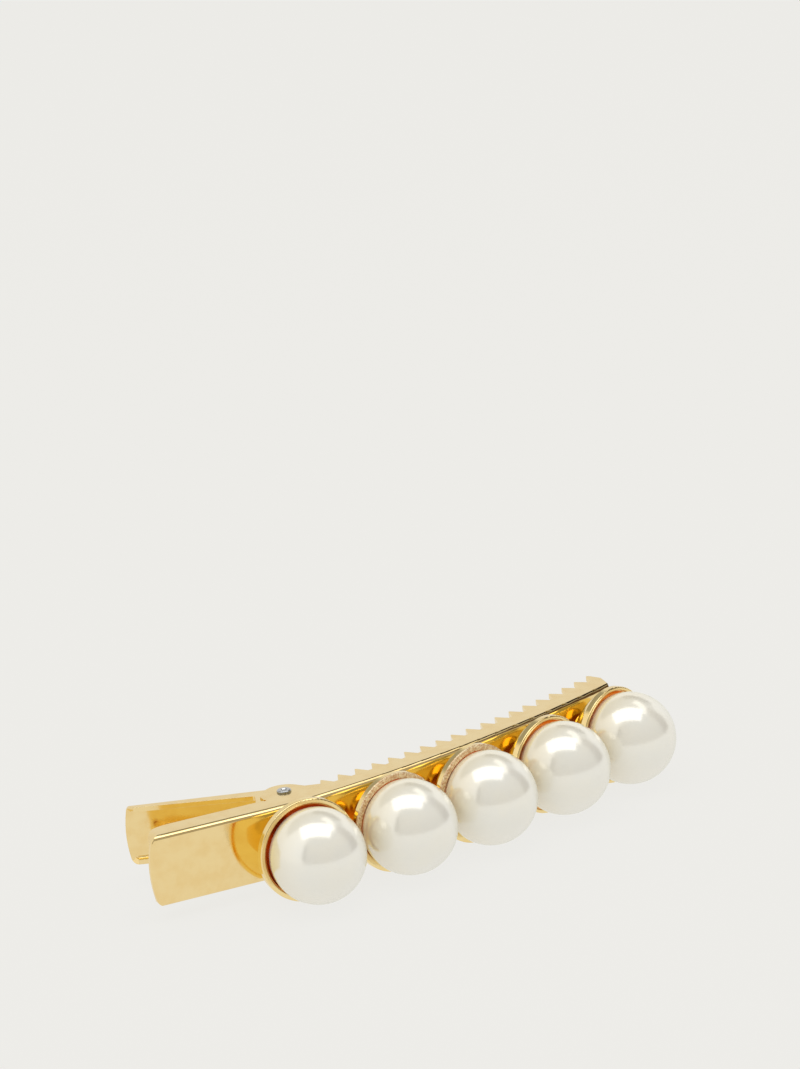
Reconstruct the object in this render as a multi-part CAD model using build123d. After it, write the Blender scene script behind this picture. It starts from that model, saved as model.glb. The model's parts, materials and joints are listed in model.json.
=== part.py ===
from build123d import *
from math import acos, atan2, cos, degrees, hypot, pi, radians, sin, sqrt
import os

# Sprung hair barrette, lying on its side, in millimetres.
# While it is built: X runs along the straight handle towards the tip, Y is the depth behind the
# front face of the front arm's band, Z is the hinge direction, with zero at mid-width.
# Every piece is then moved so that the origin is the middle of the footprint, on the table.

# ---- driving dimensions ----
PEARL_D = 12.0          # the round pearls, which set the scale of everything else
PEARL_COUNT = 5
BAND_W = 9.15           # width of the front arm over its two flanges
SHEET = 0.65            # front arm sheet thickness
REAR_SHEET = 0.60       # rear arm sheet thickness
HANDLE_L = 16.17        # straight handle, from its free end to the start of the knee
KNEE_R = 47.0           # short, tighter bend between the handle and the jaw
KNEE_L = 7.35
JAW_R = 176.0           # long, slow curve of the jaw
BAND_END = 57.6         # end of the band, measured along its front face from the knee's start
HINGE_X = 4.12
HINGE_Y = 4.92
LEVER_FLARE = 20.0      # angle between the handle and the lever, degrees
ARM_REACH = 20.15       # lever length behind the hinge

# ---- front arm ----
BEND_R = 0.60           # outside radius of the folds between band and flanges
INNER_BEND_R = 0.18     # inside radius of the folds, on both arms
END_CROWN_R = 16.0      # bow of the arms' free ends
CORNER_R = 1.2          # rounded handle corners
WRAP_RUN = 4.2          # run of the long curve that takes the flange down to the handle's end
HANDLE_FLANGE = 3.45    # flange depth along the handle, measured from the front face
JAW_FLANGE = 3.05       # flange depth at the roots of the teeth
FLANGE_END = BAND_END + 1.7
TIP_CHAMFER = 2.6       # depth at which the flange reaches its full length at the tip
TOOTH_COUNT = 19
TOOTH_PITCH = 2.70
TOOTH_TIP = 4.75        # depth of the tooth tips
TOOTH_RISE = 1.55       # run of the long side, on the hinge side of the tip
TOOTH_FALL = 1.05       # run of the short side
TOOTH_FLAT = 0.10       # half width of the blunt tip
TOOTH_ROOT = 0.50       # how far a tooth is drawn down into its strip
FIRST_TOOTH = 10.41
EAR_R = 2.65            # hinge ears of the front arm
EAR_FOOT_LEFT = (0.86, HANDLE_FLANGE)
EAR_SHOULDER = (0.90, 5.0)      # the left flank stands square on the handle up to here
EAR_FOOT_RIGHT = (7.40, 4.70)
EAR_ROOT = (0.5, 7.6)   # where the ear's flanks start along the band, inside the flange
RELIEF_R = 0.24         # small relief notches where the ears meet the flanges

# ---- rear arm ----
SIDE_GAP = 0.14         # gap between the rear arm and the inside of the front flanges
LEVER_OFFSET = 4.10     # distance from the hinge axis to the lever's outer face
LEVER_FLANGE = 1.35     # depth of the lever's side flanges at its free end
EAR_FLANGE = 2.30       # and where they reach the ears
LEVER_CORNER_R = 0.75   # rounded corners of the lever's free end
EAR_SPREAD = 3.65       # how far the rear ears spread along the lever
EAR_DROP = 1.0          # how far their square shoulder drops past the hinge axis
EAR_CORNER_R = 0.35     # inside corner between shoulder and flange
EDGE_R = 0.20           # softened outer edge round the free ends of handle and lever
REAR_EAR_R = 2.0
REAR_DEPTH = 5.0        # depth of the rear jaw's outer face behind the front face
REAR_FLANGE = 1.9       # flange depth of the rear jaw at the tooth roots
REAR_TIP = 3.5          # flange depth of the rear jaw at the tooth tips
REAR_BEND_R = 0.6       # outside radius of the rear arm's folds
REAR_END = 57.4
REAR_CORNER_R = 2.2     # rounded corners of the rear jaw's tip
ELBOW_R = 3.0           # inside radius where the lever turns into the jaw

# ---- hinge pin and spring ----
PIN_R = 0.75
PIN_PLAY = 0.05         # radial clearance in the rear arm's ears
HEAD_R = 0.92
HEAD_H = 0.30
HEAD_EDGE_R = 0.20
DIMPLE_R = 0.46         # set mark in the middle of each rivet head
DIMPLE_DEPTH = 0.22
WIRE_R = 0.35
COIL_R = 1.60           # mean radius of the coil
COIL_TURNS = 4          # whole turns, to which the angle between the legs is added
COIL_PITCH = 0.78
FRONT_LEG_END = -5.5    # where the front leg's end bears on the handle
REAR_LEG_REACH = 10.0   # where the rear leg's end bears on the lever, behind the hinge
TOUCH_GAP = 0.02        # hair's breadth between the spring legs and the arms

# ---- pearls, cups and posts ----
FIRST_PEARL = 2.54      # first pearl, along the band
PEARL_STEP = 12.42      # pearl spacing along the band's front face
PEARL_HEIGHT = 7.32     # pearl centres in front of the band
CUP_R = 6.60            # outside radius of the bowls
CUP_WALL = 0.50
COLLAR_R = 6.34         # outside radius of the straight collar round each bowl's rim
FIRST_CUP_R = 6.84      # the first cup is larger and thicker
FIRST_CUP_WALL = 0.64
FIRST_COLLAR_R = 6.56
COLLAR_H = 0.90
LIP_R = 0.17            # rounding of the rims' edges
CLOSED_CUPS = (2, 3)    # cups whose rim is turned in as far as the pearl
TURN_IN = 0.35          # depth of the turned-in rim
TURN_IN_GAP = 0.03      # clearance between the turned-in rim and the pearl
CUP_RIM = 4.9           # height of the rims above the band
CUP_FOOT_R = 2.2
CUP_FOOT_H = 0.45
POST_R = 0.6
POST_SHOULDER_R = 1.3
POST_TOP = 6.5

BIG = 40.0              # larger than any section that it cuts
MARGIN = 1.0            # how far one outline runs past another that it trims or joins
ON_FACE = 0.02          # how near to a face an edge counts as lying on it

# ---- worked out from the above ----
HINGE = (HINGE_X, HINGE_Y)
PEARL_R = PEARL_D / 2
HALF_W = BAND_W / 2
REAR_HALF = HALF_W - SHEET - SIDE_GAP
KNEE_TURN = KNEE_L / KNEE_R
FLANGE_START = -HANDLE_L + CORNER_R + END_CROWN_R - sqrt(END_CROWN_R**2 - HALF_W**2)
LEVER_FLANGE_END = ARM_REACH - LEVER_CORNER_R - END_CROWN_R + sqrt(END_CROWN_R**2 - REAR_HALF**2)
FLARE = radians(LEVER_FLARE)
LEVER_ALONG = (-cos(FLARE), sin(FLARE))     # from the hinge towards the lever's free end
LEVER_OUT = (sin(FLARE), cos(FLARE))        # outward normal of the lever's outer face


def heading(s):
    """Angle of the band's tangent at distance s along its front face, in radians."""
    if s < 0:
        return 0.0
    if s < KNEE_L:
        return s / KNEE_R
    return KNEE_TURN + (s - KNEE_L) / JAW_R


def on_band(s, depth):
    """The XY point at distance s along the band and the given depth behind its front face."""
    turn = heading(s)
    x, y = min(s, 0.0), 0.0
    knee = min(turn, KNEE_TURN)
    x += KNEE_R * sin(knee)
    y += KNEE_R * (1 - cos(knee))
    if turn > KNEE_TURN:
        x += JAW_R * (sin(turn) - sin(KNEE_TURN))
        y += JAW_R * (cos(KNEE_TURN) - cos(turn))
    return (x - depth * sin(turn), y + depth * cos(turn))


def on_lever(along, out):
    """The XY point at a distance along the lever and outwards from the hinge axis."""
    return (
        HINGE_X + along * LEVER_ALONG[0] + out * LEVER_OUT[0],
        HINGE_Y + along * LEVER_ALONG[1] + out * LEVER_OUT[1],
    )


def band_edges(start, end, depth):
    """Edges that follow the band at one depth: a line for the handle, arcs for knee and jaw."""
    stops = [start] + [s for s in (0.0, KNEE_L) if start < s < end] + [end]
    edges = []
    for a, b in zip(stops, stops[1:]):
        if b <= 0:
            edges.append(Line(on_band(a, depth), on_band(b, depth)))
        else:
            middle = on_band((a + b) / 2, depth)
            edges.append(ThreePointArc(on_band(a, depth), middle, on_band(b, depth)))
    return edges


def strip(start, end, near, far):
    """Flat face that follows the band between two depths."""
    sides = [
        Line(on_band(start, near), on_band(start, far)),
        Line(on_band(end, near), on_band(end, far)),
    ]
    return make_face(band_edges(start, end, near) + band_edges(start, end, far) + sides)


def polygon(*points):
    return Polygon(*points, align=None)


def disc(centre, radius):
    return Pos(*centre) * Circle(radius)


def slab(face, low, high):
    """Extrudes a flat XY face between two heights."""
    return Pos(0, 0, low) * extrude(face, amount=high - low, dir=(0, 0, 1))


def both_sides(face, inner, outer):
    """The two mirrored side plates of a channel."""
    return slab(face, inner, outer) + slab(face, -outer, -inner)


def nearest_vertex(shape, point):
    return min(shape.vertices(), key=lambda v: hypot(v.X - point[0], v.Y - point[1]))


def tangent_point(point, centre, radius, side):
    """Where the line from a point touches a circle; side is +1 or -1."""
    dx, dy = point[0] - centre[0], point[1] - centre[1]
    angle = atan2(dy, dx) + side * acos(radius / hypot(dx, dy))
    return (centre[0] + radius * cos(angle), centre[1] + radius * sin(angle))


def rounded_bar(plan, half_width, radius, is_fold):
    """A bar over a plan, with the long edges that is_fold picks rounded like folded sheet."""
    bar = slab(plan, -half_width, half_width)
    return fillet([e for e in bar.edges() if is_fold(e, half_width)], radius)


def tooth(tip_s, root_depth, tip_depth):
    """One V tooth of the front arm, or of the rear arm when its tip is nearer the front."""
    root_depth += TOOTH_ROOT if tip_depth < root_depth else -TOOTH_ROOT
    return polygon(
        on_band(tip_s - TOOTH_RISE, root_depth),
        on_band(tip_s - TOOTH_FLAT, tip_depth),
        on_band(tip_s + TOOTH_FLAT, tip_depth),
        on_band(tip_s + TOOTH_FALL, root_depth),
    )


# ---- front arm ----


def front_ear():
    """Lobe round the hinge pin, with straight flanks down to the flange."""
    flanks = polygon(
        on_band(EAR_ROOT[0], SHEET),
        EAR_FOOT_LEFT,
        EAR_SHOULDER,
        tangent_point(EAR_SHOULDER, HINGE, EAR_R, -1),
        tangent_point(EAR_FOOT_RIGHT, HINGE, EAR_R, 1),
        EAR_FOOT_RIGHT,
        on_band(EAR_ROOT[1], SHEET),
    )
    return flanks + disc(HINGE, EAR_R)


def run_out_depth(x):
    """Flange depth where it runs out towards the handle's free end: a quarter ellipse."""
    share = (x + HANDLE_L - WRAP_RUN) / WRAP_RUN
    return SHEET + (HANDLE_FLANGE - SHEET) * sqrt(1 - share**2)


def above_run_out():
    """Plan region that the run-out leaves open behind the handle's free end."""
    high = HANDLE_FLANGE - SHEET
    corner = Pos(-HANDLE_L + WRAP_RUN / 2, SHEET + high) * Rectangle(WRAP_RUN, 2 * high)
    return corner - Pos(-HANDLE_L + WRAP_RUN, SHEET) * Ellipse(WRAP_RUN, high)


def front_flange():
    handle = strip(FLANGE_START, FIRST_TOOTH - TOOTH_RISE, 0, HANDLE_FLANGE) - above_run_out()
    jaw = strip(KNEE_L, BAND_END, 0, JAW_FLANGE)
    tip = polygon(
        on_band(BAND_END - TOOTH_FALL, 0),
        on_band(BAND_END, 0),
        on_band(FLANGE_END, TIP_CHAMFER),
        on_band(FLANGE_END, JAW_FLANGE),
        on_band(BAND_END - TOOTH_FALL, JAW_FLANGE),
    )
    outline = handle + jaw + tip + front_ear()
    for i in range(TOOTH_COUNT):
        outline += tooth(FIRST_TOOTH + i * TOOTH_PITCH, JAW_FLANGE, TOOTH_TIP)
    outline -= strip(FLANGE_END, FLANGE_END + TOOTH_PITCH, 0, TOOTH_TIP + MARGIN)
    for foot in (EAR_FOOT_LEFT, EAR_FOOT_RIGHT):
        outline -= disc(foot, RELIEF_R)
    return outline - disc(HINGE, PIN_R)


def tongue(half_width, corner_r):
    """Plan of an arm's free end, bowed and with rounded corners.

    X points out of the end, with zero at its middle, and Y runs across the width.
    """
    side_x = sqrt(END_CROWN_R**2 - half_width**2) - END_CROWN_R
    plan = make_face(
        [
            Polyline((side_x, half_width), (-BIG, half_width), (-BIG, -half_width), (side_x, -half_width)),
            ThreePointArc((side_x, -half_width), (0, 0), (side_x, half_width)),
        ]
    )
    corners = [v for v in plan.vertices() if v.X > -BIG / 2]
    return fillet(corners, corner_r)


def end_cut(end_frame, half_width, corner_r):
    """What is cut from the square end of an arm to leave its tongue."""
    around = Pos(-BIG / 4, 0) * Rectangle(BIG, BIG) - tongue(half_width, corner_r)
    return end_frame.location * extrude(around, amount=BIG, dir=(0, 0, 1), both=True)


def soft_end_cut(end_frame, half_width, corner_r):
    """The same, inwards from the outer face only, and leaving the tongue's outer edge softened."""
    kept = extrude(tongue(half_width, corner_r), amount=BIG, dir=(0, 0, 1))
    outer_edges = [e for e in kept.edges().group_by(Axis.Z)[0] if e.position_at(0.5).X > -BIG / 2]
    kept = fillet([e for e in outer_edges if e.geom_type != GeomType.LINE], EDGE_R)
    around = Pos(-BIG / 4, 0, BIG / 2) * Box(BIG, BIG, BIG) - kept
    return end_frame.location * around


def corner_wraps(end_frame, half_width, corner_r, wall, depth, end_depth):
    """The flanges' ends, carried round both corners and running out along the free end.

    depth is the wall's depth where the corner starts and end_depth where it runs out.
    """
    outline = tongue(half_width, corner_r)
    ring = extrude(outline - offset(outline, -wall), amount=depth, dir=(0, 0, 1))
    side_x = sqrt(END_CROWN_R**2 - half_width**2) - END_CROWN_R - corner_r
    start = Vector(side_x, half_width, depth)
    finish = Vector(0, half_width - corner_r, end_depth)
    across = Vector(1, 1, 0)
    ramp = Plane(origin=start, x_dir=across, z_dir=across.cross(finish - start))
    if ramp.z_dir.Z < 0:
        ramp = Plane(origin=start, x_dir=across, z_dir=(finish - start).cross(across))
    wrap = ring & Pos(side_x + BIG / 2, half_width - corner_r + BIG / 2, 0) * Box(BIG, BIG, BIG)
    wrap -= ramp.location * Pos(0, 0, BIG / 2) * Box(BIG, BIG, BIG)
    return end_frame.location * (wrap + mirror(wrap, about=Plane.XZ))


def front_arm():
    handle_end = Plane(origin=(-HANDLE_L, 0, 0), x_dir=(-1, 0, 0), z_dir=(0, 1, 0))
    band = slab(strip(-HANDLE_L, BAND_END, 0, SHEET), -HALF_W, HALF_W)
    band -= end_cut(handle_end, HALF_W, CORNER_R)
    channel = band + both_sides(front_flange(), HALF_W - SHEET, HALF_W)
    channel = fillet([e for e in channel.edges() if in_front_fold(e)], INNER_BEND_R)
    channel += corner_wraps(handle_end, HALF_W, CORNER_R, SHEET, run_out_depth(FLANGE_START), 0)
    channel -= soft_end_cut(handle_end, HALF_W, CORNER_R)
    plan = strip(-HANDLE_L - MARGIN, FLANGE_END + MARGIN, 0, TOOTH_TIP + 2 * EAR_R)
    return channel & rounded_bar(plan, HALF_W, BEND_R, on_front_face)


def in_front_fold(edge):
    """True for the concave edges between the band and the flanges."""
    middle = edge.position_at(0.5)
    inner = on_band(nearest_station(middle), SHEET)
    close = hypot(middle.X - inner[0], middle.Y - inner[1]) < ON_FACE
    return close and abs(abs(middle.Z) - HALF_W + SHEET) < ON_FACE and edge.length > SHEET


def on_front_face(edge, half_width):
    """True for the long side edges of the band's front face."""
    middle = edge.position_at(0.5)
    front = on_band(nearest_station(middle), 0)
    close = hypot(middle.X - front[0], middle.Y - front[1]) < ON_FACE
    return close and abs(abs(middle.Z) - half_width) < ON_FACE and edge.length > SHEET


def nearest_station(point):
    """Distance along the band of the front-face point nearest to a point on or near it."""
    if point.X <= 0:
        return point.X
    turn = atan2(point.X, KNEE_R - point.Y)
    if turn <= KNEE_TURN:
        return turn * KNEE_R
    start = on_band(KNEE_L, 0)
    centre_x = start[0] - JAW_R * sin(KNEE_TURN)
    centre_y = start[1] + JAW_R * cos(KNEE_TURN)
    turn = atan2(point.X - centre_x, centre_y - point.Y)
    return KNEE_L + (turn - KNEE_TURN) * JAW_R


# ---- rear arm ----


def elbow_station(inset):
    """Where along the band the lever's face at an inset meets the jaw's, found by halving."""
    low, high = HINGE_X, REAR_END / 2
    for _ in range(50):
        middle = (low + high) / 2
        x, y = on_band(middle, REAR_DEPTH - inset)
        out = (x - HINGE_X) * LEVER_OUT[0] + (y - HINGE_Y) * LEVER_OUT[1]
        if out < LEVER_OFFSET - inset:
            low = middle
        else:
            high = middle
    return middle


def rear_plan(inset):
    """Plan of the rear arm from its outer face to an inset towards the front."""
    outer, inner = elbow_station(0), elbow_station(inset)
    depth = REAR_DEPTH - inset
    lever_end = on_lever(ARM_REACH, LEVER_OFFSET), on_lever(ARM_REACH, LEVER_OFFSET - inset)
    loop = band_edges(outer, REAR_END, REAR_DEPTH) + band_edges(inner, REAR_END, depth)
    loop.append(Line(on_band(REAR_END, REAR_DEPTH), on_band(REAR_END, depth)))
    loop.append(Line(lever_end[0], on_band(outer, REAR_DEPTH)))
    loop.append(Line(lever_end[1], on_band(inner, depth)))
    loop.append(Line(lever_end[0], lever_end[1]))
    plan = make_face(loop)
    return fillet(nearest_vertex(plan, on_band(outer, REAR_DEPTH)), ELBOW_R)


def rear_sheet():
    """Plan of the rear arm's plate, bent at the elbow."""
    plan = rear_plan(REAR_SHEET)
    corner = on_band(elbow_station(REAR_SHEET), REAR_DEPTH - REAR_SHEET)
    return fillet(nearest_vertex(plan, corner), ELBOW_R + REAR_SHEET)


def rear_ear():
    """Lobe round the hinge pin, drawn up to the lever on one side and the jaw on the other."""
    lever_foot = on_lever(EAR_SPREAD, LEVER_OFFSET - EAR_FLANGE)
    shoulder = on_lever(EAR_SPREAD, -EAR_DROP)
    jaw_foot = on_band(elbow_station(0) - EAR_SPREAD / 2, REAR_DEPTH - REAR_FLANGE)
    web = polygon(
        lever_foot,
        shoulder,
        tangent_point(shoulder, HINGE, REAR_EAR_R, 1),
        tangent_point(jaw_foot, HINGE, REAR_EAR_R, -1),
        jaw_foot,
        on_band(elbow_station(0) + MARGIN, REAR_DEPTH - REAR_FLANGE),
        on_band(elbow_station(0) + MARGIN, REAR_DEPTH - REAR_SHEET / 2),
        on_band(elbow_station(REAR_SHEET), REAR_DEPTH - REAR_SHEET),
        on_lever(0, LEVER_OFFSET - REAR_SHEET / 2),
        on_lever(EAR_SPREAD, LEVER_OFFSET - REAR_SHEET / 2),
    )
    return web + disc(HINGE, REAR_EAR_R)


def rear_flange():
    free_end = polygon(
        on_lever(LEVER_FLANGE_END, LEVER_OFFSET - REAR_SHEET),
        on_lever(ARM_REACH + MARGIN, LEVER_OFFSET - REAR_SHEET),
        on_lever(ARM_REACH + MARGIN, LEVER_OFFSET - LEVER_FLANGE - MARGIN),
        on_lever(LEVER_FLANGE_END, LEVER_OFFSET - LEVER_FLANGE - MARGIN),
    )
    jaw_end = REAR_END - REAR_CORNER_R
    jaw = strip(elbow_station(0), jaw_end, REAR_DEPTH - REAR_FLANGE, REAR_DEPTH - REAR_SHEET / 2)
    lever_foot = on_lever(EAR_SPREAD, LEVER_OFFSET - EAR_FLANGE)
    taper = polygon(
        on_lever(LEVER_FLANGE_END, LEVER_OFFSET - LEVER_FLANGE),
        lever_foot,
        on_lever(EAR_SPREAD, LEVER_OFFSET - REAR_SHEET),
        on_lever(LEVER_FLANGE_END, LEVER_OFFSET - REAR_SHEET),
    )
    outline = rear_plan(LEVER_FLANGE) - free_end + taper + rear_ear() + jaw
    outline = fillet(nearest_vertex(outline, lever_foot), EAR_CORNER_R)
    tip_s = FIRST_TOOTH + 2 * TOOTH_PITCH
    while tip_s + TOOTH_FALL < jaw_end:
        outline += tooth(tip_s, REAR_DEPTH - REAR_FLANGE, REAR_DEPTH - REAR_TIP)
        tip_s += TOOTH_PITCH
    return outline - disc(HINGE, PIN_R + PIN_PLAY)


def rear_arm():
    turn = heading(REAR_END)
    jaw_end = Plane(
        origin=(*on_band(REAR_END, REAR_DEPTH), 0),
        x_dir=(cos(turn), sin(turn), 0),
        z_dir=(-sin(turn), cos(turn), 0),
    )
    lever_end = Plane(
        origin=(*on_lever(ARM_REACH, LEVER_OFFSET), 0),
        x_dir=(*LEVER_ALONG, 0),
        z_dir=(-LEVER_OUT[0], -LEVER_OUT[1], 0),
    )
    channel = slab(rear_sheet(), -REAR_HALF, REAR_HALF)
    channel += both_sides(rear_flange(), REAR_HALF - REAR_SHEET, REAR_HALF)
    channel = fillet([e for e in channel.edges() if in_rear_fold(e)], INNER_BEND_R)
    channel -= end_cut(jaw_end, REAR_HALF, REAR_CORNER_R)
    channel -= end_cut(lever_end, REAR_HALF, LEVER_CORNER_R)
    channel += corner_wraps(lever_end, REAR_HALF, LEVER_CORNER_R, REAR_SHEET, LEVER_FLANGE, 0)
    channel -= soft_end_cut(lever_end, REAR_HALF, LEVER_CORNER_R)
    bar = rounded_bar(rear_plan(REAR_DEPTH + BAND_W), REAR_HALF, REAR_BEND_R, on_rear_face)
    return channel & bar


def in_rear_fold(edge):
    """True for the concave edges between the rear arm's plate and its flanges."""
    middle = edge.position_at(0.5)
    if abs(abs(middle.Z) - REAR_HALF + REAR_SHEET) > ON_FACE or edge.length < REAR_SHEET:
        return False
    out = (middle.X - HINGE_X) * LEVER_OUT[0] + (middle.Y - HINGE_Y) * LEVER_OUT[1]
    jaw = on_band(nearest_station(middle), REAR_DEPTH - REAR_SHEET)
    off_jaw = hypot(middle.X - jaw[0], middle.Y - jaw[1])
    return abs(out - LEVER_OFFSET + REAR_SHEET) < ON_FACE or off_jaw < ON_FACE


def on_rear_face(edge, half_width):
    """True for the long side edges of the rear arm's outer face."""
    middle = edge.position_at(0.5)
    if abs(abs(middle.Z) - half_width) > ON_FACE or edge.length < SHEET:
        return False
    out = (middle.X - HINGE_X) * LEVER_OUT[0] + (middle.Y - HINGE_Y) * LEVER_OUT[1]
    jaw = on_band(nearest_station(middle), REAR_DEPTH)
    off_jaw = hypot(middle.X - jaw[0], middle.Y - jaw[1])
    in_elbow = out > LEVER_OFFSET and off_jaw < ELBOW_R / 2
    return abs(out - LEVER_OFFSET) < ON_FACE or off_jaw < ON_FACE or in_elbow


# ---- hinge pin and spring ----


def hinge_pin():
    """Rivet through all four ears, with a flat, dimpled head outside each front ear."""
    mark_r = (DIMPLE_R**2 + DIMPLE_DEPTH**2) / (2 * DIMPLE_DEPTH)
    head = Pos(0, 0, HALF_W + HEAD_H / 2) * Cylinder(HEAD_R, HEAD_H)
    head = fillet(head.edges().group_by(Axis.Z)[-1], HEAD_EDGE_R)
    head -= Pos(0, 0, HALF_W + HEAD_H - DIMPLE_DEPTH + mark_r) * Sphere(mark_r)
    pin = Cylinder(PIN_R, BAND_W) + head + mirror(head, about=Plane.XY)
    return Pos(HINGE_X, HINGE_Y, 0) * pin


def spring_path():
    """Front leg, coil and rear leg of the torsion spring, as one smooth wire."""
    front_end = (FRONT_LEG_END, SHEET + WIRE_R + TOUCH_GAP)
    rear_end = on_lever(REAR_LEG_REACH, LEVER_OFFSET - REAR_SHEET - WIRE_R - TOUCH_GAP)
    start = tangent_point(front_end, HINGE, COIL_R, 1)
    finish = tangent_point(rear_end, HINGE, COIL_R, -1)
    start_angle = atan2(start[1] - HINGE_Y, start[0] - HINGE_X)
    finish_angle = atan2(finish[1] - HINGE_Y, finish[0] - HINGE_X)
    turns = COIL_TURNS + ((finish_angle - start_angle) / (2 * pi)) % 1
    height = turns * COIL_PITCH
    climb = COIL_PITCH / (2 * pi * COIL_R)
    front_drop = climb * hypot(front_end[0] - start[0], front_end[1] - start[1])
    rear_rise = climb * hypot(rear_end[0] - finish[0], rear_end[1] - finish[1])
    coil = Helix(COIL_PITCH, height, COIL_R)
    coil = Pos(HINGE_X, HINGE_Y, -height / 2) * Rot(0, 0, degrees(start_angle)) * coil
    front_leg = Line((*front_end, -height / 2 - front_drop), coil @ 0)
    rear_leg = Line(coil @ 1, (*rear_end, height / 2 + rear_rise))
    return front_leg, coil, rear_leg


def torsion_spring():
    """Round wire swept along the legs and the coil, wound so that its front leg is the upper one."""
    spring = None
    for run in spring_path():
        section = Plane(origin=run @ 0, z_dir=run % 0) * Circle(WIRE_R)
        piece = sweep(section, path=run)
        spring = piece if spring is None else spring + piece
    return mirror(spring, about=Plane.XY)


# ---- pearls, cups and posts ----


def pearl_frame(index):
    """Frame on the band's front face: its Z points outwards through the pearl's middle."""
    s = FIRST_PEARL + index * PEARL_STEP
    turn = heading(s)
    x, y = on_band(s, 0)
    return Plane(origin=(x, y, 0), x_dir=(cos(turn), sin(turn), 0), z_dir=(sin(turn), -cos(turn), 0))


def cup_size(number):
    """Outside radius, wall thickness and collar radius of a cup."""
    if number == 1:
        return FIRST_CUP_R, FIRST_CUP_WALL, FIRST_COLLAR_R
    return CUP_R, CUP_WALL, COLLAR_R


def pearl_cup(number):
    """Bowl with a flat foot and a rounded collar, turned in as far as the pearl if closed."""
    outer_r, wall, collar_r = cup_size(number)
    collar_foot = CUP_RIM - COLLAR_H
    bowl = Pos(0, 0, outer_r) * (Sphere(outer_r) - Sphere(outer_r - wall))
    bowl &= Pos(0, 0, (collar_foot + wall) / 2) * Box(BIG, BIG, collar_foot + wall)
    collar = Cylinder(collar_r, COLLAR_H) - Cylinder(collar_r - wall, COLLAR_H)
    collar = Pos(0, 0, CUP_RIM - COLLAR_H / 2) * collar
    if number in CLOSED_CUPS:
        opening = sqrt(PEARL_R**2 - (PEARL_HEIGHT - CUP_RIM) ** 2) + TURN_IN_GAP
        turned_in = Cylinder(collar_r - wall / 2, TURN_IN) - Cylinder(opening, TURN_IN)
        collar += Pos(0, 0, CUP_RIM - TURN_IN / 2) * turned_in
    collar = fillet(collar.edges().group_by(Axis.Z)[-1], LIP_R)
    foot = Pos(0, 0, CUP_FOOT_H / 2) * Cylinder(CUP_FOOT_R, CUP_FOOT_H)
    return bowl + collar + foot


def pearl_post(number):
    """Peg with a shoulder: it stands in the bowl, and the drilled pearl sits on it."""
    outer_r, wall, _ = cup_size(number)
    seat = PEARL_HEIGHT - sqrt(PEARL_R**2 - POST_R**2)
    shoulder = Pos(0, 0, seat / 2) * Cylinder(POST_SHOULDER_R, seat)
    peg = Pos(0, 0, POST_TOP / 2) * Cylinder(POST_R, POST_TOP)
    shoulder -= Pos(0, 0, PEARL_HEIGHT) * Sphere(PEARL_R)
    above_foot = Pos(0, 0, CUP_FOOT_H + BIG / 2) * Box(BIG, BIG, BIG)
    inside_bowl = Pos(0, 0, outer_r) * Sphere(outer_r - wall)
    return (shoulder + peg) & above_foot & inside_bowl


def pearl():
    ball = Pos(0, 0, PEARL_HEIGHT) * Sphere(PEARL_R)
    return ball - Pos(0, 0, POST_TOP / 2) * Cylinder(POST_R, POST_TOP)


def build():
    pieces = {
        "front_arm": front_arm(),
        "rear_arm": rear_arm(),
        "hinge_pin": hinge_pin(),
        "torsion_spring": torsion_spring(),
    }
    for i in range(PEARL_COUNT):
        place, number = pearl_frame(i).location, i + 1
        pieces[f"pearl_cup_{number}"] = place * pearl_cup(number)
        pieces[f"pearl_post_{number}"] = place * pearl_post(number)
        pieces[f"pearl_{number}"] = place * pearl()
    return pieces


def main():
    pieces = build()
    box = Compound(children=[Compound(p.solids()) for p in pieces.values()]).bounding_box()
    to_origin = Pos(-box.center().X, -box.center().Y, -box.min.Z)
    os.makedirs("parts", exist_ok=True)
    for name, piece in pieces.items():
        export_step(to_origin * piece, f"parts/{name}.step")
        print(name, len(piece.solids()), round(piece.volume, 2))
    hinge = to_origin * Pos(HINGE_X, HINGE_Y, 0)
    print("hinge axis at", hinge.position, "box", box.size)


main()
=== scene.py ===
import json
from collections import namedtuple
from math import acos, atan2, cos, pi, radians, sin

import bmesh
import bpy
from mathutils import Matrix, Vector


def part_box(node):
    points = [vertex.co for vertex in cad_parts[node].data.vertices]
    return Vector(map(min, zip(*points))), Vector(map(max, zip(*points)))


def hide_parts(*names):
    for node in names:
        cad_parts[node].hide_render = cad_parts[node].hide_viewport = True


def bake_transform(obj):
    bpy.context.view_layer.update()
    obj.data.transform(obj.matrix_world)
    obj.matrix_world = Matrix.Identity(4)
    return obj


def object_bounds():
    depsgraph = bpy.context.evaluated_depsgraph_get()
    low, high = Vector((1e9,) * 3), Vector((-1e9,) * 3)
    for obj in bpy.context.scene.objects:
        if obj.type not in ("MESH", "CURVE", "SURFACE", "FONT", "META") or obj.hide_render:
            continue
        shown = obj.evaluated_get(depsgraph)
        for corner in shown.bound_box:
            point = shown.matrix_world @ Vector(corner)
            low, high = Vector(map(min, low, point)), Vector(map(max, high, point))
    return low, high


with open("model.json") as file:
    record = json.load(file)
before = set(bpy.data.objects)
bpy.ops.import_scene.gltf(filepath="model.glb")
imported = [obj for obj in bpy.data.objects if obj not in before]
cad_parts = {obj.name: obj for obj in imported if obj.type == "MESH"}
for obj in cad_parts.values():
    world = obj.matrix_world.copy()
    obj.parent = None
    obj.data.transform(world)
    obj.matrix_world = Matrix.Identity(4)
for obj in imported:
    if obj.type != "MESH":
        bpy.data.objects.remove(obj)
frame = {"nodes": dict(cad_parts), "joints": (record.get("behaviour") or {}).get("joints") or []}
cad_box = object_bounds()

# Looks for the sprung pearl barrette. Metres, in the CAD part's own frame: X towards the jaw's tip,
# Y from the pearls towards the rear arm, Z up along the hinge pin, the table at Z = 0.

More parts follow.
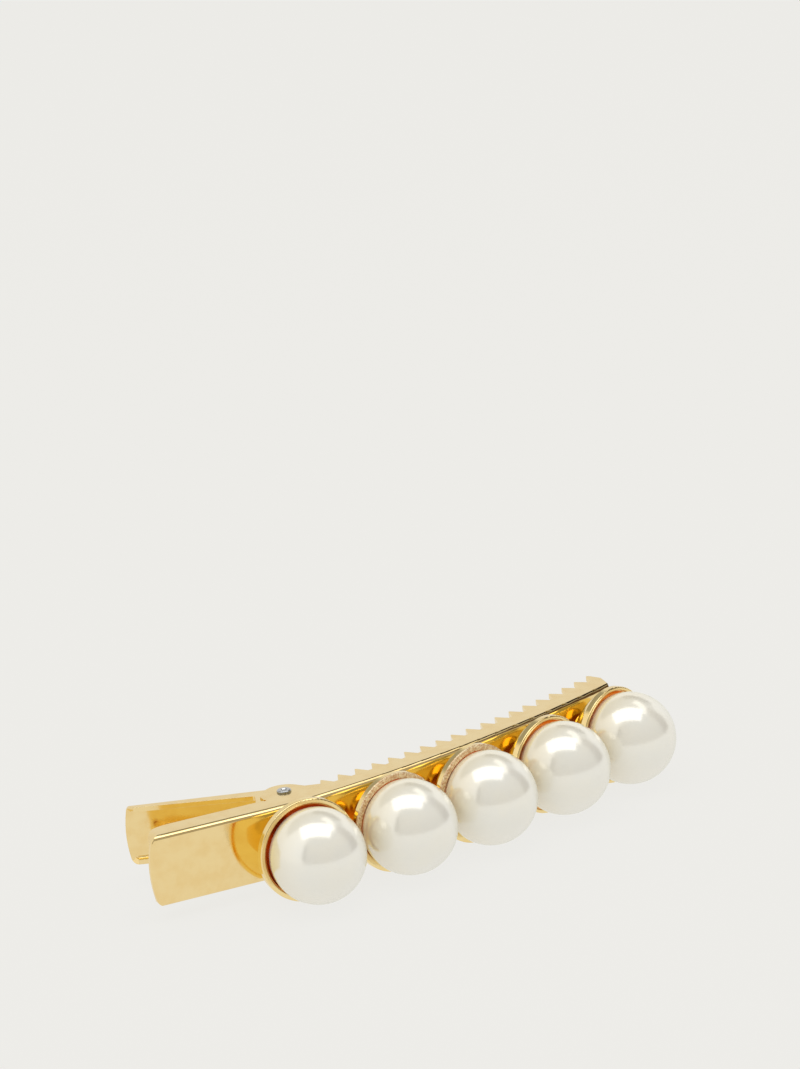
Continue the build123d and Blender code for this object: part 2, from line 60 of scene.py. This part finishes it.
MM = 0.001
PEARLS = range(1, 6)
NODES = frame["nodes"]
HINGE = Vector(frame["joints"][0]["pos_m"])

# ---- camera, in degrees and metres, and its lens in millimetres ----
CAMERA_AZIMUTH = -23.24
CAMERA_ELEVATION = 15.98
CAMERA_ROLL = -5.588
CAMERA_DISTANCE = 0.5108
CAMERA_LENS = 139.6
CAMERA_AIM = HINGE + Vector((0.0175823, -0.0033106, 0.0350754))

# ---- studio: colours as linear brightness, angles in degrees, sizes in metres ----
BACKDROP = (0.831, 0.823, 0.793)
CEILING = (0.37, 0.37, 0.35)
WALL_TOP, CEILING_EDGE = 0.48, 0.62     # sines of the elevations where they meet, softly
FILL = (0.80, 0.79, 0.76)   # even light that only matte surfaces receive
FLOOR_COLOUR = (0.8, 0.79, 0.76)
FLOOR_GAIN = 1.02           # the floor's own glow, to match the backdrop behind it
FLOOR_GLOW_SHARE = 0.95
FLOOR_HALF = 4.0
FLOOR_DROP = 0.00002        # keeps the floor just under the object
BOX_ELEVATION = 82.0        # overhead softbox, tilted towards the camera
BOX_DISTANCE = 0.60
BOX_WIDTH = 0.72
BOX_DEPTH = 0.40
BOX_POWER = 1.55
TWICE_MIRRORED = 2.5        # the world's ray depth is 3 or more once a ray has been mirrored twice
REPEAT_SHARE = 0.75         # how far the panels fade for those rays

# A panel is a patch of the room that only reflections show. Turn 0 is the direction of the camera,
# and turns count to the camera's right. Low and high are elevations; soft is how far edges fade.
Panel = namedtuple("Panel", "turn half_width low high soft colour")
PANELS = (
    Panel(32.0, 68.0, -2.0, 44.0, 4.0, (0.44, 0.41, 0.36)),
    Panel(-70.0, 35.0, -2.0, 60.0, 6.0, (0.95, 0.93, 0.88)),
    Panel(-33.0, 4.0, 8.0, 44.0, 3.0, (0.08, 0.07, 0.055)),
    Panel(122.0, 36.0, 51.0, 64.0, 3.0, (1.45, 1.40, 1.28)),
    Panel(105.0, 12.0, -2.0, 50.0, 6.0, (0.10, 0.055, 0.025)),
    Panel(160.0, 22.0, 30.0, 46.0, 2.0, (0.02, 0.008, 0.002)),
)

# ---- front arm, in millimetres: its band is straight, then bends with the knee and the jaw ----
BAND_START = HINGE - Vector((4.12, 4.92, 0)) * MM       # where the knee starts, on the front face
KNEE_R, KNEE_L = 47.0, 7.35
KNEE_TURN = KNEE_L / KNEE_R
JAW_R = 176.0
HALF_WIDTH = 4.575
FOLD_R = 0.60               # outside radius of the folds
FOLD_LENGTH = 14.3          # straight run of the folds along the handle
FOLD_SLACK = 0.20           # how far the mesh may lie off the exact surface
EDGE_ROUNDING = 0.07        # softening of every cut edge

# ---- pearls and cups, in millimetres; two cups are closed by a matte, turned-in rim ----
FIRST_PEARL = 2.54          # along the band, from where the knee starts
PEARL_STEP = 12.42
PEARL_HEIGHT = 7.32         # of a pearl's centre over the band
RIM_HEIGHT = 4.9            # of a cup's rim over the band
CUP_R, CUP_WALL = 6.60, 0.50
FIRST_CUP_R, FIRST_CUP_WALL = 6.84, 0.64
MATTE_RIMS = (2, 3)
MATTE_FROM, MATTE_FULL = -3.5, -1.0     # heights from the pearl's centre where the matte starts
MATTE_DEPTH, MATTE_FADE = 0.30, 0.12    # how far it runs down the collar, and fades out there
GAP_SHADE_FULL, GAP_SHADE_FROM = -0.22, -0.08     # heights under the rim where the painted shade inside the cup is full and where it starts

# ---- plated gold: its colour, its lowest roughness, and how wavy the sheet is ----
Plating = namedtuple("Plating", "tint shine wave")
ARM_PLATING = Plating((0.93, 0.725, 0.365), 0.06, 0.10)
CUP_PLATING = Plating((0.96, 0.76, 0.38), 0.08, 0.05)
HAZE_GAINS = (0.97, 0.93, 0.86)         # what the haze leaves of each colour channel
MIRRORED_GAINS = (1.0, 0.98, 0.62)      # what a further reflection leaves of it
CUP_GAP_SHADE = (0.94, 0.60, 0.26)         # painted shade inside the cups, darker and redder, seen in the gap round each pearl; the first cup's is deeper
FIRST_CUP_GAP_SHADE = (0.70, 0.30, 0.09)
MATTE_DARK, MATTE_LIGHT = (0.68, 0.40, 0.20), (1.0, 0.86, 0.58)

# ---- light between polished walls: the colour that it tends to ----
LAST_BOUNCE = 4             # reflections after which a ray takes it
DEEP_AMBER = (0.15, 0.045, 0.004)       # for steep upward rays
BRIGHT_AMBER = (0.62, 0.29, 0.035)      # for downward ones
DEEP_SLOPE, BRIGHT_SLOPE = -0.55, 0.45  # downward part of the rays that get these two colours

# ---- nacre ----
NACRE_SHIFT = 31.0          # moves each pearl's clouds, so that no two pearls are alike
IVORY_WARM, IVORY_COOL = (0.89, 0.865, 0.775), (0.87, 0.855, 0.785)
# painted reflected light: the ivory turns gold on the side towards the cup
IVORY_GOLD_BOUNCE = (0.85, 0.77, 0.58)
# painted shade: the ivory darkens and greens towards the ball's rim as seen
IVORY_LIMB_SHADE = (0.71, 0.70, 0.56)
LUSTRE_COLOUR = (0.93, 0.91, 0.86)
LUSTRE_SHARE = 0.28

# ---- steel; the rivet's radii are in millimetres from the hinge's axis ----
RIVET_LIGHT, RIVET_DARK = (0.62, 0.63, 0.64), (0.48, 0.49, 0.50)
# painted shade: the colour of the rivet's set mark and of the ring round its edge
RIVET_SHADE = (0.045, 0.04, 0.035)
RIVET_MARK_R = (0.20, 0.34)
RIVET_EDGE_R = (0.90, 1.06)
WIRE_LIGHT, WIRE_DARK = (0.55, 0.55, 0.55), (0.44, 0.44, 0.44)
WIRE_GRAIN = (1, 1, 4)

# ---- spring wire, millimetres from the hinge ----
WIRE_R = 0.35
COIL_R = 1.60
COIL_TURNS = 4
COIL_PITCH = 0.78
FRONT_LEG_END = (-9.62, -3.90)
LEVER_ANGLE = radians(20.0)
REAR_LEG_REACH = 10.0
REAR_LEG_OUT = 3.13
LEG_STEPS = 12
STEPS_PER_TURN = 48
WIRE_SIDES = 16
END_DOME = 0.3


# ---------------------------------------------------------------- node building


def opaque(colour):
    """A plain colour with full alpha. Another node's output stays as it is."""
    return (*colour, 1.0) if isinstance(colour, tuple) else colour


def times(colour, gains):
    return tuple(c * gain for c, gain in zip(colour, gains))


class Shader:
    """Short calls that build the node tree of a material or of the world."""

    def __init__(self, owner):
        owner.use_nodes = True
        self.tree = owner.node_tree
        self.tree.nodes.clear()

    def node(self, kind, inputs=None, **settings):
        """Adds a node. Each input is a plain value or another node's output."""
        made = self.tree.nodes.new(kind)
        for name, value in settings.items():
            setattr(made, name, value)
        for key, value in (inputs or {}).items():
            if isinstance(value, bpy.types.NodeSocket):
                self.tree.links.new(value, made.inputs[key])
            else:
                made.inputs[key].default_value = value
        return made

    def math(self, operation, *values):
        return self.node("ShaderNodeMath", dict(enumerate(values)), operation=operation).outputs[0]

    def vector(self, operation, *values):
        made = self.node("ShaderNodeVectorMath", dict(enumerate(values)), operation=operation)
        return made.outputs["Value" if operation in ("DOT_PRODUCT", "LENGTH") else "Vector"]

    def scaled(self, direction, length):
        inputs = {0: direction, "Scale": length}
        return self.node("ShaderNodeVectorMath", inputs, operation="SCALE").outputs["Vector"]

    def place(self):
        """The piece's own coordinates, in metres. At rest they are the frame's."""
        return self.node("ShaderNodeTexCoord").outputs["Object"]

    def millimetres(self, scale=(1, 1, 1)):
        """The piece's own coordinates in millimetres, each axis times its scale."""
        return self.vector("MULTIPLY", self.place(), tuple(s / MM for s in scale))

    def height_of(self, direction):
        return self.node("ShaderNodeSeparateXYZ", {0: direction}).outputs["Z"]

    def noise(self, where, scale, detail=2.0, roughness=0.5):
        inputs = {"Vector": where, "Scale": scale, "Detail": detail, "Roughness": roughness}
        return self.node("ShaderNodeTexNoise", inputs).outputs["Fac"]

    def remap(self, value, low, high, to_low=0.0, to_high=1.0):
        """Smooth step: to_low where the value is at or under low, to_high at or over high."""
        inputs = {
            "Value": value,
            "From Min": low,
            "From Max": high,
            "To Min": to_low,
            "To Max": to_high,
        }
        made = self.node("ShaderNodeMapRange", inputs, interpolation_type="SMOOTHSTEP")
        return made.outputs["Result"]

    def blend(self, share, a, b):
        """Colour a where share is 0, colour b where it is 1."""
        inputs = {0: share, 6: opaque(a), 7: opaque(b)}
        return self.node("ShaderNodeMix", inputs, data_type="RGBA").outputs[2]

    def mix_value(self, share, a, b):
        inputs = {0: share, 2: a, 3: b}
        return self.node("ShaderNodeMix", inputs, data_type="FLOAT").outputs[0]

    def mix_vector(self, share, a, b):
        inputs = {0: share, 4: a, 5: b}
        return self.node("ShaderNodeMix", inputs, data_type="VECTOR").outputs[1]

    def mix_shader(self, share, a, b):
        inputs = {0: share, 1: a.outputs[0], 2: b.outputs[0]}
        return self.node("ShaderNodeMixShader", inputs)

    def bump(self, height, strength, distance, normal=None):
        inputs = {"Height": height, "Strength": strength, "Distance": distance}
        if normal is not None:
            inputs["Normal"] = normal
        return self.node("ShaderNodeBump", inputs).outputs["Normal"]

    def surface(self, shader):
        self.node("ShaderNodeOutputMaterial", {"Surface": shader.outputs[0]})


def material(name):
    made = bpy.data.materials.new(name)
    return made, Shader(made)


# ---------------------------------------------------------------- materials


def scratches(s, turns):
    """Fine polishing lines: noise drawn out along a few directions."""
    total = None
    for turn in turns:
        inputs = {
            "Vector": s.millimetres(),
            "Rotation": (turn, turn * 0.7, turn * 1.3),
            "Scale": (0.5, 14.0, 14.0),
        }
        where = s.node("ShaderNodeMapping", inputs).outputs["Vector"]
        lines = s.remap(s.noise(where, scale=1.0, detail=3.0), 0.60, 0.72)
        total = lines if total is None else s.math("MAXIMUM", total, lines)
    return total


def softened_edges(s):
    """Surface normal that turns smoothly over every cut edge, as on tumbled sheet metal."""
    return s.node("ShaderNodeBevel", {"Radius": EDGE_ROUNDING * MM}, samples=4).outputs["Normal"]


def folded_sheet(s):
    """Exact normal of the front arm's curved face and folds; softened edges everywhere else.
    The front arm never moves, so its own axes are also the world's."""
    where = s.vector("SUBTRACT", s.place(), tuple(BAND_START))
    where = s.vector("MULTIPLY", where, (1 / MM, 1 / MM, 1 / MM))
    parts = s.node("ShaderNodeSeparateXYZ", {0: where}).outputs
    flat = s.vector("MULTIPLY", where, (1, 1, 0))
    jaw_start = Vector((sin(KNEE_TURN), 1 - cos(KNEE_TURN), 0)) * KNEE_R
    jaw_centre = jaw_start + Vector((-sin(KNEE_TURN), cos(KNEE_TURN), 0)) * JAW_R
    outward, depth = (0, -1, 0), parts["Y"]
    for start, centre, radius in (
        (0, Vector((0, KNEE_R, 0)), KNEE_R),
        (jaw_start.x, jaw_centre, JAW_R),
    ):
        arm = s.vector("SUBTRACT", flat, tuple(centre))
        past = s.math("GREATER_THAN", parts["X"], start)
        outward = s.mix_vector(past, outward, s.vector("NORMALIZE", arm))
        bend_depth = s.math("SUBTRACT", radius, s.vector("LENGTH", arm))
        depth = s.mix_value(past, depth, bend_depth)
    near_front = s.math("MAXIMUM", s.math("SUBTRACT", FOLD_R, depth), 0)
    off_middle = s.math("SUBTRACT", s.math("ABSOLUTE", parts["Z"]), HALF_WIDTH - FOLD_R)
    near_side = s.math("MULTIPLY", s.math("MAXIMUM", off_middle, 0), s.math("SIGN", parts["Z"]))
    side = s.node("ShaderNodeCombineXYZ", {"Z": near_side}).outputs[0]
    radius = s.vector("ADD", s.scaled(outward, near_front), side)
    off_surface = s.math("ABSOLUTE", s.math("SUBTRACT", s.vector("LENGTH", radius), FOLD_R))
    on_fold = s.math("LESS_THAN", off_surface, FOLD_SLACK)
    in_front = s.math("LESS_THAN", depth, FOLD_R + FOLD_SLACK)
    clear_of_end = s.math("GREATER_THAN", parts["X"], -FOLD_LENGTH)
    share = s.math("MULTIPLY", on_fold, s.math("MULTIPLY", in_front, clear_of_end))
    return s.mix_vector(share, softened_edges(s), s.vector("NORMALIZE", radius))


def with_lost_light(s, surface):
    """Stands in for the light lost after many reflections: amber, deeper for upward rays."""
    depth = s.node("ShaderNodeLightPath").outputs["Ray Depth"]
    lost = s.math("GREATER_THAN", depth, LAST_BOUNCE - 0.5)
    downward = s.height_of(s.node("ShaderNodeNewGeometry").outputs["Incoming"])
    tone = s.blend(s.remap(downward, DEEP_SLOPE, BRIGHT_SLOPE), DEEP_AMBER, BRIGHT_AMBER)
    amber = s.node("ShaderNodeEmission", {"Color": tone, "Strength": 1.0})
    return s.mix_shader(lost, surface, amber)


def polished_gold(s, plating, normal, inside_shade=None):
    """Polished gold plating: slight waves in the sheet, faint haze and polishing lines.
    Inside_shade is a share of the surface and the painted shade colour that it gets there."""
    tint, shine, wave = plating
    where = s.millimetres()
    haze = s.noise(where, scale=0.55, detail=4.0)
    lines = scratches(s, (0.3, 1.9))
    colour = s.blend(s.remap(haze, 0.35, 0.7), tint, times(tint, HAZE_GAINS))
    mirrored = s.math("GREATER_THAN", s.node("ShaderNodeLightPath").outputs["Ray Depth"], 0.5)
    colour = s.blend(mirrored, colour, times(tint, MIRRORED_GAINS))
    # painted shade: the share of the surface given in inside_shade takes its darker colour
    if inside_shade is not None:
        colour = s.blend(inside_shade[0], colour, inside_shade[1])
    hazy = s.remap(haze, 0.3, 0.75, shine, shine + 0.05)
    rough = s.math("ADD", hazy, s.math("MULTIPLY", lines, 0.05))
    swell = s.noise(where, scale=0.22, detail=1.0)
    waves = s.bump(swell, strength=wave, distance=0.05 * MM, normal=normal)
    fine = s.bump(lines, strength=0.04, distance=0.01 * MM, normal=waves)
    inputs = {"Base Color": colour, "Metallic": 1.0, "Roughness": rough, "Normal": fine}
    return s.node("ShaderNodeBsdfPrincipled", inputs)


def gold(name, plating, surface_normal=softened_edges):
    made, s = material(name)
    s.surface(with_lost_light(s, polished_gold(s, plating, surface_normal(s))))
    return made


def matte_gold(s):
    """Grainy pinkish gold, like solder that was never polished."""
    grain = s.noise(s.millimetres(), scale=3.2, detail=5.0, roughness=0.7)
    colour = s.blend(s.remap(grain, 0.36, 0.64), MATTE_DARK, MATTE_LIGHT)
    normal = s.bump(grain, strength=0.8, distance=0.08 * MM)
    inputs = {"Base Color": colour, "Metallic": 0.8, "Roughness": 0.5, "Normal": normal}
    return s.node("ShaderNodeBsdfPrincipled", inputs)


def pearl_axis(number):
    """Outward direction of a pearl and its cup, square to the band under them."""
    distance = FIRST_PEARL + (number - 1) * PEARL_STEP
    turn = distance / KNEE_R if distance < KNEE_L else KNEE_TURN + (distance - KNEE_L) / JAW_R
    return Vector((sin(turn), -cos(turn), 0))


def pearl_centre(number):
    low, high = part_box(f"pearl_{number}")
    return (Vector(low) + Vector(high)) / 2


def cup_gold(number):
    """Polished cup with painted shade inside, darker and redder below the rim where the gap round
    the pearl shows it. On two cups the upper part of the rim is matte and pinkish.
    """
    made, s = material(f"gold_cup_{number}")
    cup_r, wall = (FIRST_CUP_R, FIRST_CUP_WALL) if number == 1 else (CUP_R, CUP_WALL)
    axis = pearl_axis(number)
    rim_centre = pearl_centre(number) - axis * (PEARL_HEIGHT - RIM_HEIGHT) * MM
    bowl_centre = rim_centre + axis * (cup_r - RIM_HEIGHT) * MM
    place = s.place()
    arm = s.vector("SUBTRACT", place, tuple(rim_centre))
    along = s.vector("DOT_PRODUCT", arm, tuple(axis))
    from_bowl = s.vector("LENGTH", s.vector("SUBTRACT", place, tuple(bowl_centre)))
    in_bowl = s.math("LESS_THAN", from_bowl, (cup_r - wall / 2) * MM)
    under_rim = s.remap(along, GAP_SHADE_FULL * MM, GAP_SHADE_FROM * MM, 1.0, 0.0)
    inside_shade = s.math("MULTIPLY", in_bowl, under_rim)
    # painted shade on the cup's inside below the rim, deeper in the first cup
    tone = FIRST_CUP_GAP_SHADE if number == 1 else CUP_GAP_SHADE
    surface = polished_gold(s, CUP_PLATING, softened_edges(s), (inside_shade, tone))
    if number in MATTE_RIMS:
        on_collar = s.remap(along, -MATTE_DEPTH * MM, (MATTE_FADE - MATTE_DEPTH) * MM)
        above = s.remap(s.height_of(arm), MATTE_FROM * MM, MATTE_FULL * MM)
        surface = s.mix_shader(s.math("MULTIPLY", on_collar, above), surface, matte_gold(s))
    s.surface(with_lost_light(s, surface))
    return made


def nacre(number):
    """Pearlescent coating: ivory body, silky lustre over it, and a thin clear gloss. The body has
    painted light: a gold glow from the cup on the side towards it, and painted shade towards its
    rim as seen.
    A pearl never moves, so the exact normal of its ball is taken from its own axes."""
    made, s = material(f"pearl_nacre_{number}")
    where = s.vector("ADD", s.millimetres(), (NACRE_SHIFT * number, 0, 0))
    ball = s.vector("NORMALIZE", s.vector("SUBTRACT", s.place(), tuple(pearl_centre(number))))
    facing = s.node("ShaderNodeLayerWeight", {"Blend": 0.35, "Normal": ball}).outputs["Facing"]
    cloud = s.noise(where, scale=0.30, detail=3.0)
    body = s.blend(s.remap(cloud, 0.35, 0.65), IVORY_WARM, IVORY_COOL)
    near_cup = s.vector("DOT_PRODUCT", ball, tuple(-pearl_axis(number)))
    # painted reflected light: gold glow from the cup on the side of the ball next to it
    body = s.blend(s.remap(near_cup, -0.75, 0.25), body, IVORY_GOLD_BOUNCE)
    # painted shade: darker, greener ivory towards the ball's rim as the camera sees it
    body = s.blend(s.remap(facing, 0.45, 0.95), body, IVORY_LIMB_SHADE)
    pores = s.noise(where, scale=9.0, detail=3.0)
    skin = s.bump(pores, strength=0.05, distance=0.01 * MM, normal=ball)
    body_inputs = {
        "Base Color": body,
        "Roughness": 0.40,
        "IOR": 1.35,
        "Normal": skin,
        "Coat Weight": 0.8,
        "Coat Roughness": 0.05,
        "Coat IOR": 1.5,
    }
    lustre_inputs = {"Color": opaque(LUSTRE_COLOUR), "Roughness": 0.19, "Normal": skin}
    base = s.node("ShaderNodeBsdfPrincipled", body_inputs)
    lustre = s.node("ShaderNodeBsdfGlossy", lustre_inputs)
    s.surface(s.mix_shader(LUSTRE_SHARE, base, lustre))
    return made


def wire_steel():
    """Spring steel with fine drawn lines."""
    made, s = material("spring_wire")
    grain = s.noise(s.millimetres(WIRE_GRAIN), scale=4.0, detail=3.0)
    inputs = {
        "Base Color": s.blend(s.remap(grain, 0.3, 0.7), WIRE_LIGHT, WIRE_DARK),
        "Metallic": 1.0,
        "Roughness": s.remap(grain, 0.3, 0.7, 0.25, 0.37),
        "Normal": s.bump(grain, strength=0.1, distance=0.02 * MM),
    }
    s.surface(s.node("ShaderNodeBsdfPrincipled", inputs))
    return made


def rivet_steel():
    """Bright rivet head with painted shade in its set mark and round its edge, where it is also
    rougher.
    """
    made, s = material("steel_pin")
    from_hinge = s.vector("SUBTRACT", s.place(), tuple(HINGE))
    distance = s.vector("LENGTH", s.vector("MULTIPLY", from_hinge, (1 / MM, 1 / MM, 0)))
    grain = s.noise(s.millimetres(), scale=6.0, detail=3.0)
    uneven = s.math("ADD", distance, s.math("MULTIPLY", grain, 0.12))
    mark = s.remap(uneven, *RIVET_MARK_R, 1.0, 0.0)
    # painted shade in the set mark and round the head's edge; the steel is also rougher there
    painted_shade = s.math("MAXIMUM", s.remap(uneven, *RIVET_EDGE_R), mark)
    tone = s.blend(s.remap(grain, 0.3, 0.7), RIVET_LIGHT, RIVET_DARK)
    normal = s.bump(grain, strength=0.15, distance=0.02 * MM, normal=softened_edges(s))
    inputs = {
        "Base Color": s.blend(painted_shade, tone, RIVET_SHADE),
        "Metallic": 1.0,
        "Roughness": s.mix_value(painted_shade, 0.13, 0.5),
        "Normal": normal,
    }
    s.surface(s.node("ShaderNodeBsdfPrincipled", inputs))
    return made


def paint(node, finish):
    """Gives a CAD node its final material."""
    mesh = NODES[node].data
    mesh.materials.clear()
    mesh.materials.append(finish)


# ---------------------------------------------------------------- studio


def camera_axes():
    """Right, up and forward directions of the camera, its roll included."""
    azimuth = radians(CAMERA_AZIMUTH)
    elevation = radians(CAMERA_ELEVATION)
    roll = radians(CAMERA_ROLL)
    forward = Vector((
        -sin(azimuth) * cos(elevation),
        cos(azimuth) * cos(elevation),
        -sin(elevation),
    ))
    right = Vector((cos(azimuth), sin(azimuth), 0))
    up = right.cross(forward)
    return right * cos(roll) + up * sin(roll), up * cos(roll) - right * sin(roll), forward


def camera_heading():
    """The camera's forward direction, laid flat."""
    _, _, forward = camera_axes()
    return Vector((forward.x, forward.y, 0)).normalized()


def make_camera():
    right, up, forward = camera_axes()
    camera = bpy.data.objects.new("camera", bpy.data.cameras.new("camera"))
    bpy.context.scene.collection.objects.link(camera)
    turn = Matrix((right, up, -forward)).transposed().to_4x4()
    camera.matrix_world = Matrix.Translation(CAMERA_AIM - forward * CAMERA_DISTANCE) @ turn
    camera.data.lens = CAMERA_LENS
    camera.data.clip_start = 0.01
    camera.data.clip_end = 20.0
    bpy.context.scene.camera = camera


def make_floor():
    """Large pale floor that takes only a faint shadow."""
    made, s = material("pale_floor")
    lit = s.node("ShaderNodeBsdfDiffuse", {"Color": opaque(FLOOR_COLOUR)})
    glow = s.node("ShaderNodeEmission", {"Color": opaque(BACKDROP), "Strength": FLOOR_GAIN})
    s.surface(s.mix_shader(FLOOR_GLOW_SHARE, lit, glow))
    mesh = bpy.data.meshes.new("floor")
    corners = [(x * FLOOR_HALF, y * FLOOR_HALF, 0) for x, y in ((-1, -1), (1, -1), (1, 1), (-1, 1))]
    mesh.from_pydata(corners, [], [(0, 1, 2, 3)])
    mesh.materials.append(made)
    floor = bpy.data.objects.new("floor", mesh)
    bpy.context.scene.collection.objects.link(floor)
    floor.location.z = cad_box[0].z - FLOOR_DROP


def make_softbox():
    """Overhead softbox that makes the window on each pearl."""
    centre = (cad_box[0] + cad_box[1]) / 2
    tilt = radians(BOX_ELEVATION)
    towards_box = Vector((0, 0, sin(tilt))) - camera_heading() * cos(tilt)
    light = bpy.data.lights.new("softbox", "AREA")
    light.shape = "RECTANGLE"
    light.size, light.size_y = BOX_WIDTH, BOX_DEPTH
    light.energy = BOX_POWER
    made = bpy.data.objects.new("softbox", light)
    bpy.context.scene.collection.objects.link(made)
    made.location = centre + towards_box * BOX_DISTANCE
    made.rotation_mode = "QUATERNION"
    made.rotation_quaternion = (centre - made.location).to_track_quat("-Z", "Y")


def panel_share(s, flat_way, height, panel):
    """How much of a direction lies in a panel: 1 inside it, 0 outside, soft at its edges."""
    to_camera = -camera_heading()
    right = Vector((-to_camera.y, to_camera.x, 0))
    turn, half_width, low, high, soft, _ = panel
    middle = to_camera * cos(radians(turn)) + right * sin(radians(turn))
    across = s.vector("DOT_PRODUCT", flat_way, tuple(middle))
    share = s.remap(across, cos(radians(half_width + soft)), cos(radians(half_width - soft)))
    above = s.remap(height, sin(radians(low - soft)), sin(radians(low + soft)))
    below = s.remap(height, sin(radians(high - soft)), sin(radians(high + soft)), 1.0, 0.0)
    return s.math("MULTIPLY", share, s.math("MULTIPLY", above, below))


def make_world():
    """Plain backdrop for the camera; for reflections, bright walls, a grey ceiling and panels."""
    world = bpy.data.worlds.new("studio")
    bpy.context.scene.world = world
    s = Shader(world)
    way = s.node("ShaderNodeTexCoord").outputs["Generated"]
    height = s.height_of(way)
    flat_way = s.vector("NORMALIZE", s.vector("MULTIPLY", way, (1, 1, 0)))
    room = s.blend(s.remap(height, WALL_TOP, CEILING_EDGE), BACKDROP, CEILING)
    studio = room
    for panel in PANELS:
        studio = s.blend(panel_share(s, flat_way, height, panel), studio, panel.colour)
    ray = s.node("ShaderNodeLightPath").outputs
    repeated = s.math("GREATER_THAN", ray["Ray Depth"], TWICE_MIRRORED)
    studio = s.blend(s.math("MULTIPLY", repeated, REPEAT_SHARE), studio, room)
    for_rays = s.blend(ray["Is Camera Ray"], studio, BACKDROP)
    colour = s.blend(ray["Is Diffuse Ray"], for_rays, FILL)
    glow = s.node("ShaderNodeBackground", {"Color": colour, "Strength": 1.0})
    s.node("ShaderNodeOutputWorld", {"Surface": glow.outputs[0]})


# ---------------------------------------------------------------- the object


def spring_stations():
    """Centre line of the wire, millimetres from the hinge: front leg on top, coil, rear leg."""
    reach = Vector((-cos(LEVER_ANGLE), sin(LEVER_ANGLE)))
    out = Vector((sin(LEVER_ANGLE), cos(LEVER_ANGLE)))
    front_end = Vector(FRONT_LEG_END)
    rear_end = reach * REAR_LEG_REACH + out * REAR_LEG_OUT
    front_turn = atan2(front_end.y, front_end.x) + acos(COIL_R / front_end.length)
    rear_turn = atan2(rear_end.y, rear_end.x) - acos(COIL_R / rear_end.length)
    turns = COIL_TURNS + ((rear_turn - front_turn) / (2 * pi)) % 1
    top = turns * COIL_PITCH / 2
    slope = COIL_PITCH / (2 * pi * COIL_R)
    stations = []
    leg = Vector((COIL_R * cos(front_turn), COIL_R * sin(front_turn))) - front_end
    for i in range(LEG_STEPS):
        share = i / LEG_STEPS
        height = top + slope * leg.length * (1 - share)
        stations.append(Vector((*(front_end + leg * share), height)))
    coil_steps = round(turns * STEPS_PER_TURN)
    for i in range(coil_steps):
        angle = front_turn + 2 * pi * turns * i / coil_steps
        height = top - turns * COIL_PITCH * i / coil_steps
        stations.append(Vector((COIL_R * cos(angle), COIL_R * sin(angle), height)))
    start = Vector((COIL_R * cos(rear_turn), COIL_R * sin(rear_turn)))
    leg = rear_end - start
    for i in range(LEG_STEPS + 1):
        share = i / LEG_STEPS
        height = -top - slope * leg.length * share
        stations.append(Vector((*(start + leg * share), height)))
    return stations


def wire_mesh(name, stations, radius):
    """Round wire along its stations, with domed ends, in metres from the hinge."""
    made = bmesh.new()
    before = stations[:1] + stations[:-1]
    after = stations[1:] + stations[-1:]
    runs = [(b - a).normalized() for a, b in zip(before, after)]
    side = runs[0].orthogonal().normalized()
    rings = []
    for where, run in zip(stations, runs):
        side = (side - run * side.dot(run)).normalized()
        other = run.cross(side)
        ring = []
        for k in range(WIRE_SIDES):
            turn = 2 * pi * k / WIRE_SIDES
            spoke = (side * cos(turn) + other * sin(turn)) * radius
            ring.append(made.verts.new(HINGE + (where + spoke) * MM))
        rings.append(ring)
    around = [(k, (k + 1) % WIRE_SIDES) for k in range(WIRE_SIDES)]
    for a, b in zip(rings, rings[1:]):
        for k, after_k in around:
            made.faces.new((a[k], a[after_k], b[after_k], b[k]))
    for end, way in ((0, -runs[0]), (-1, runs[-1])):
        tip = made.verts.new(HINGE + (stations[end] + way * radius * END_DOME) * MM)
        for k, after_k in around:
            made.faces.new((rings[end][k], rings[end][after_k], tip))
    bmesh.ops.recalc_face_normals(made, faces=made.faces)
    mesh = bpy.data.meshes.new(name)
    made.to_mesh(mesh)
    made.free()
    mesh.polygons.foreach_set("use_smooth", [True] * len(mesh.polygons))
    return mesh


def make_spring():
    """Torsion spring rebuilt as a round wire in its rest shape, in place of the CAD node."""
    mesh = wire_mesh("spring_coil", spring_stations(), WIRE_R)
    mesh.materials.append(wire_steel())
    spring = bpy.data.objects.new("spring_coil", mesh)
    bpy.context.scene.collection.objects.link(spring)
    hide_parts("torsion_spring")
    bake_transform(spring)


def finish_cad_nodes():
    posts = gold("gold_post", CUP_PLATING)
    paint("front_arm", gold("gold_plate_front", ARM_PLATING, folded_sheet))
    paint("rear_arm", gold("gold_plate_rear", ARM_PLATING))
    paint("hinge_pin", rivet_steel())
    for i in PEARLS:
        paint(f"pearl_cup_{i}", cup_gold(i))
        paint(f"pearl_post_{i}", posts)
        paint(f"pearl_{i}", nacre(i))


def colour_management():
    view = bpy.context.scene.view_settings
    view.view_transform = "Standard"
    view.look = "None"


finish_cad_nodes()
make_spring()
make_camera()
make_floor()
make_softbox()
make_world()
colour_management()
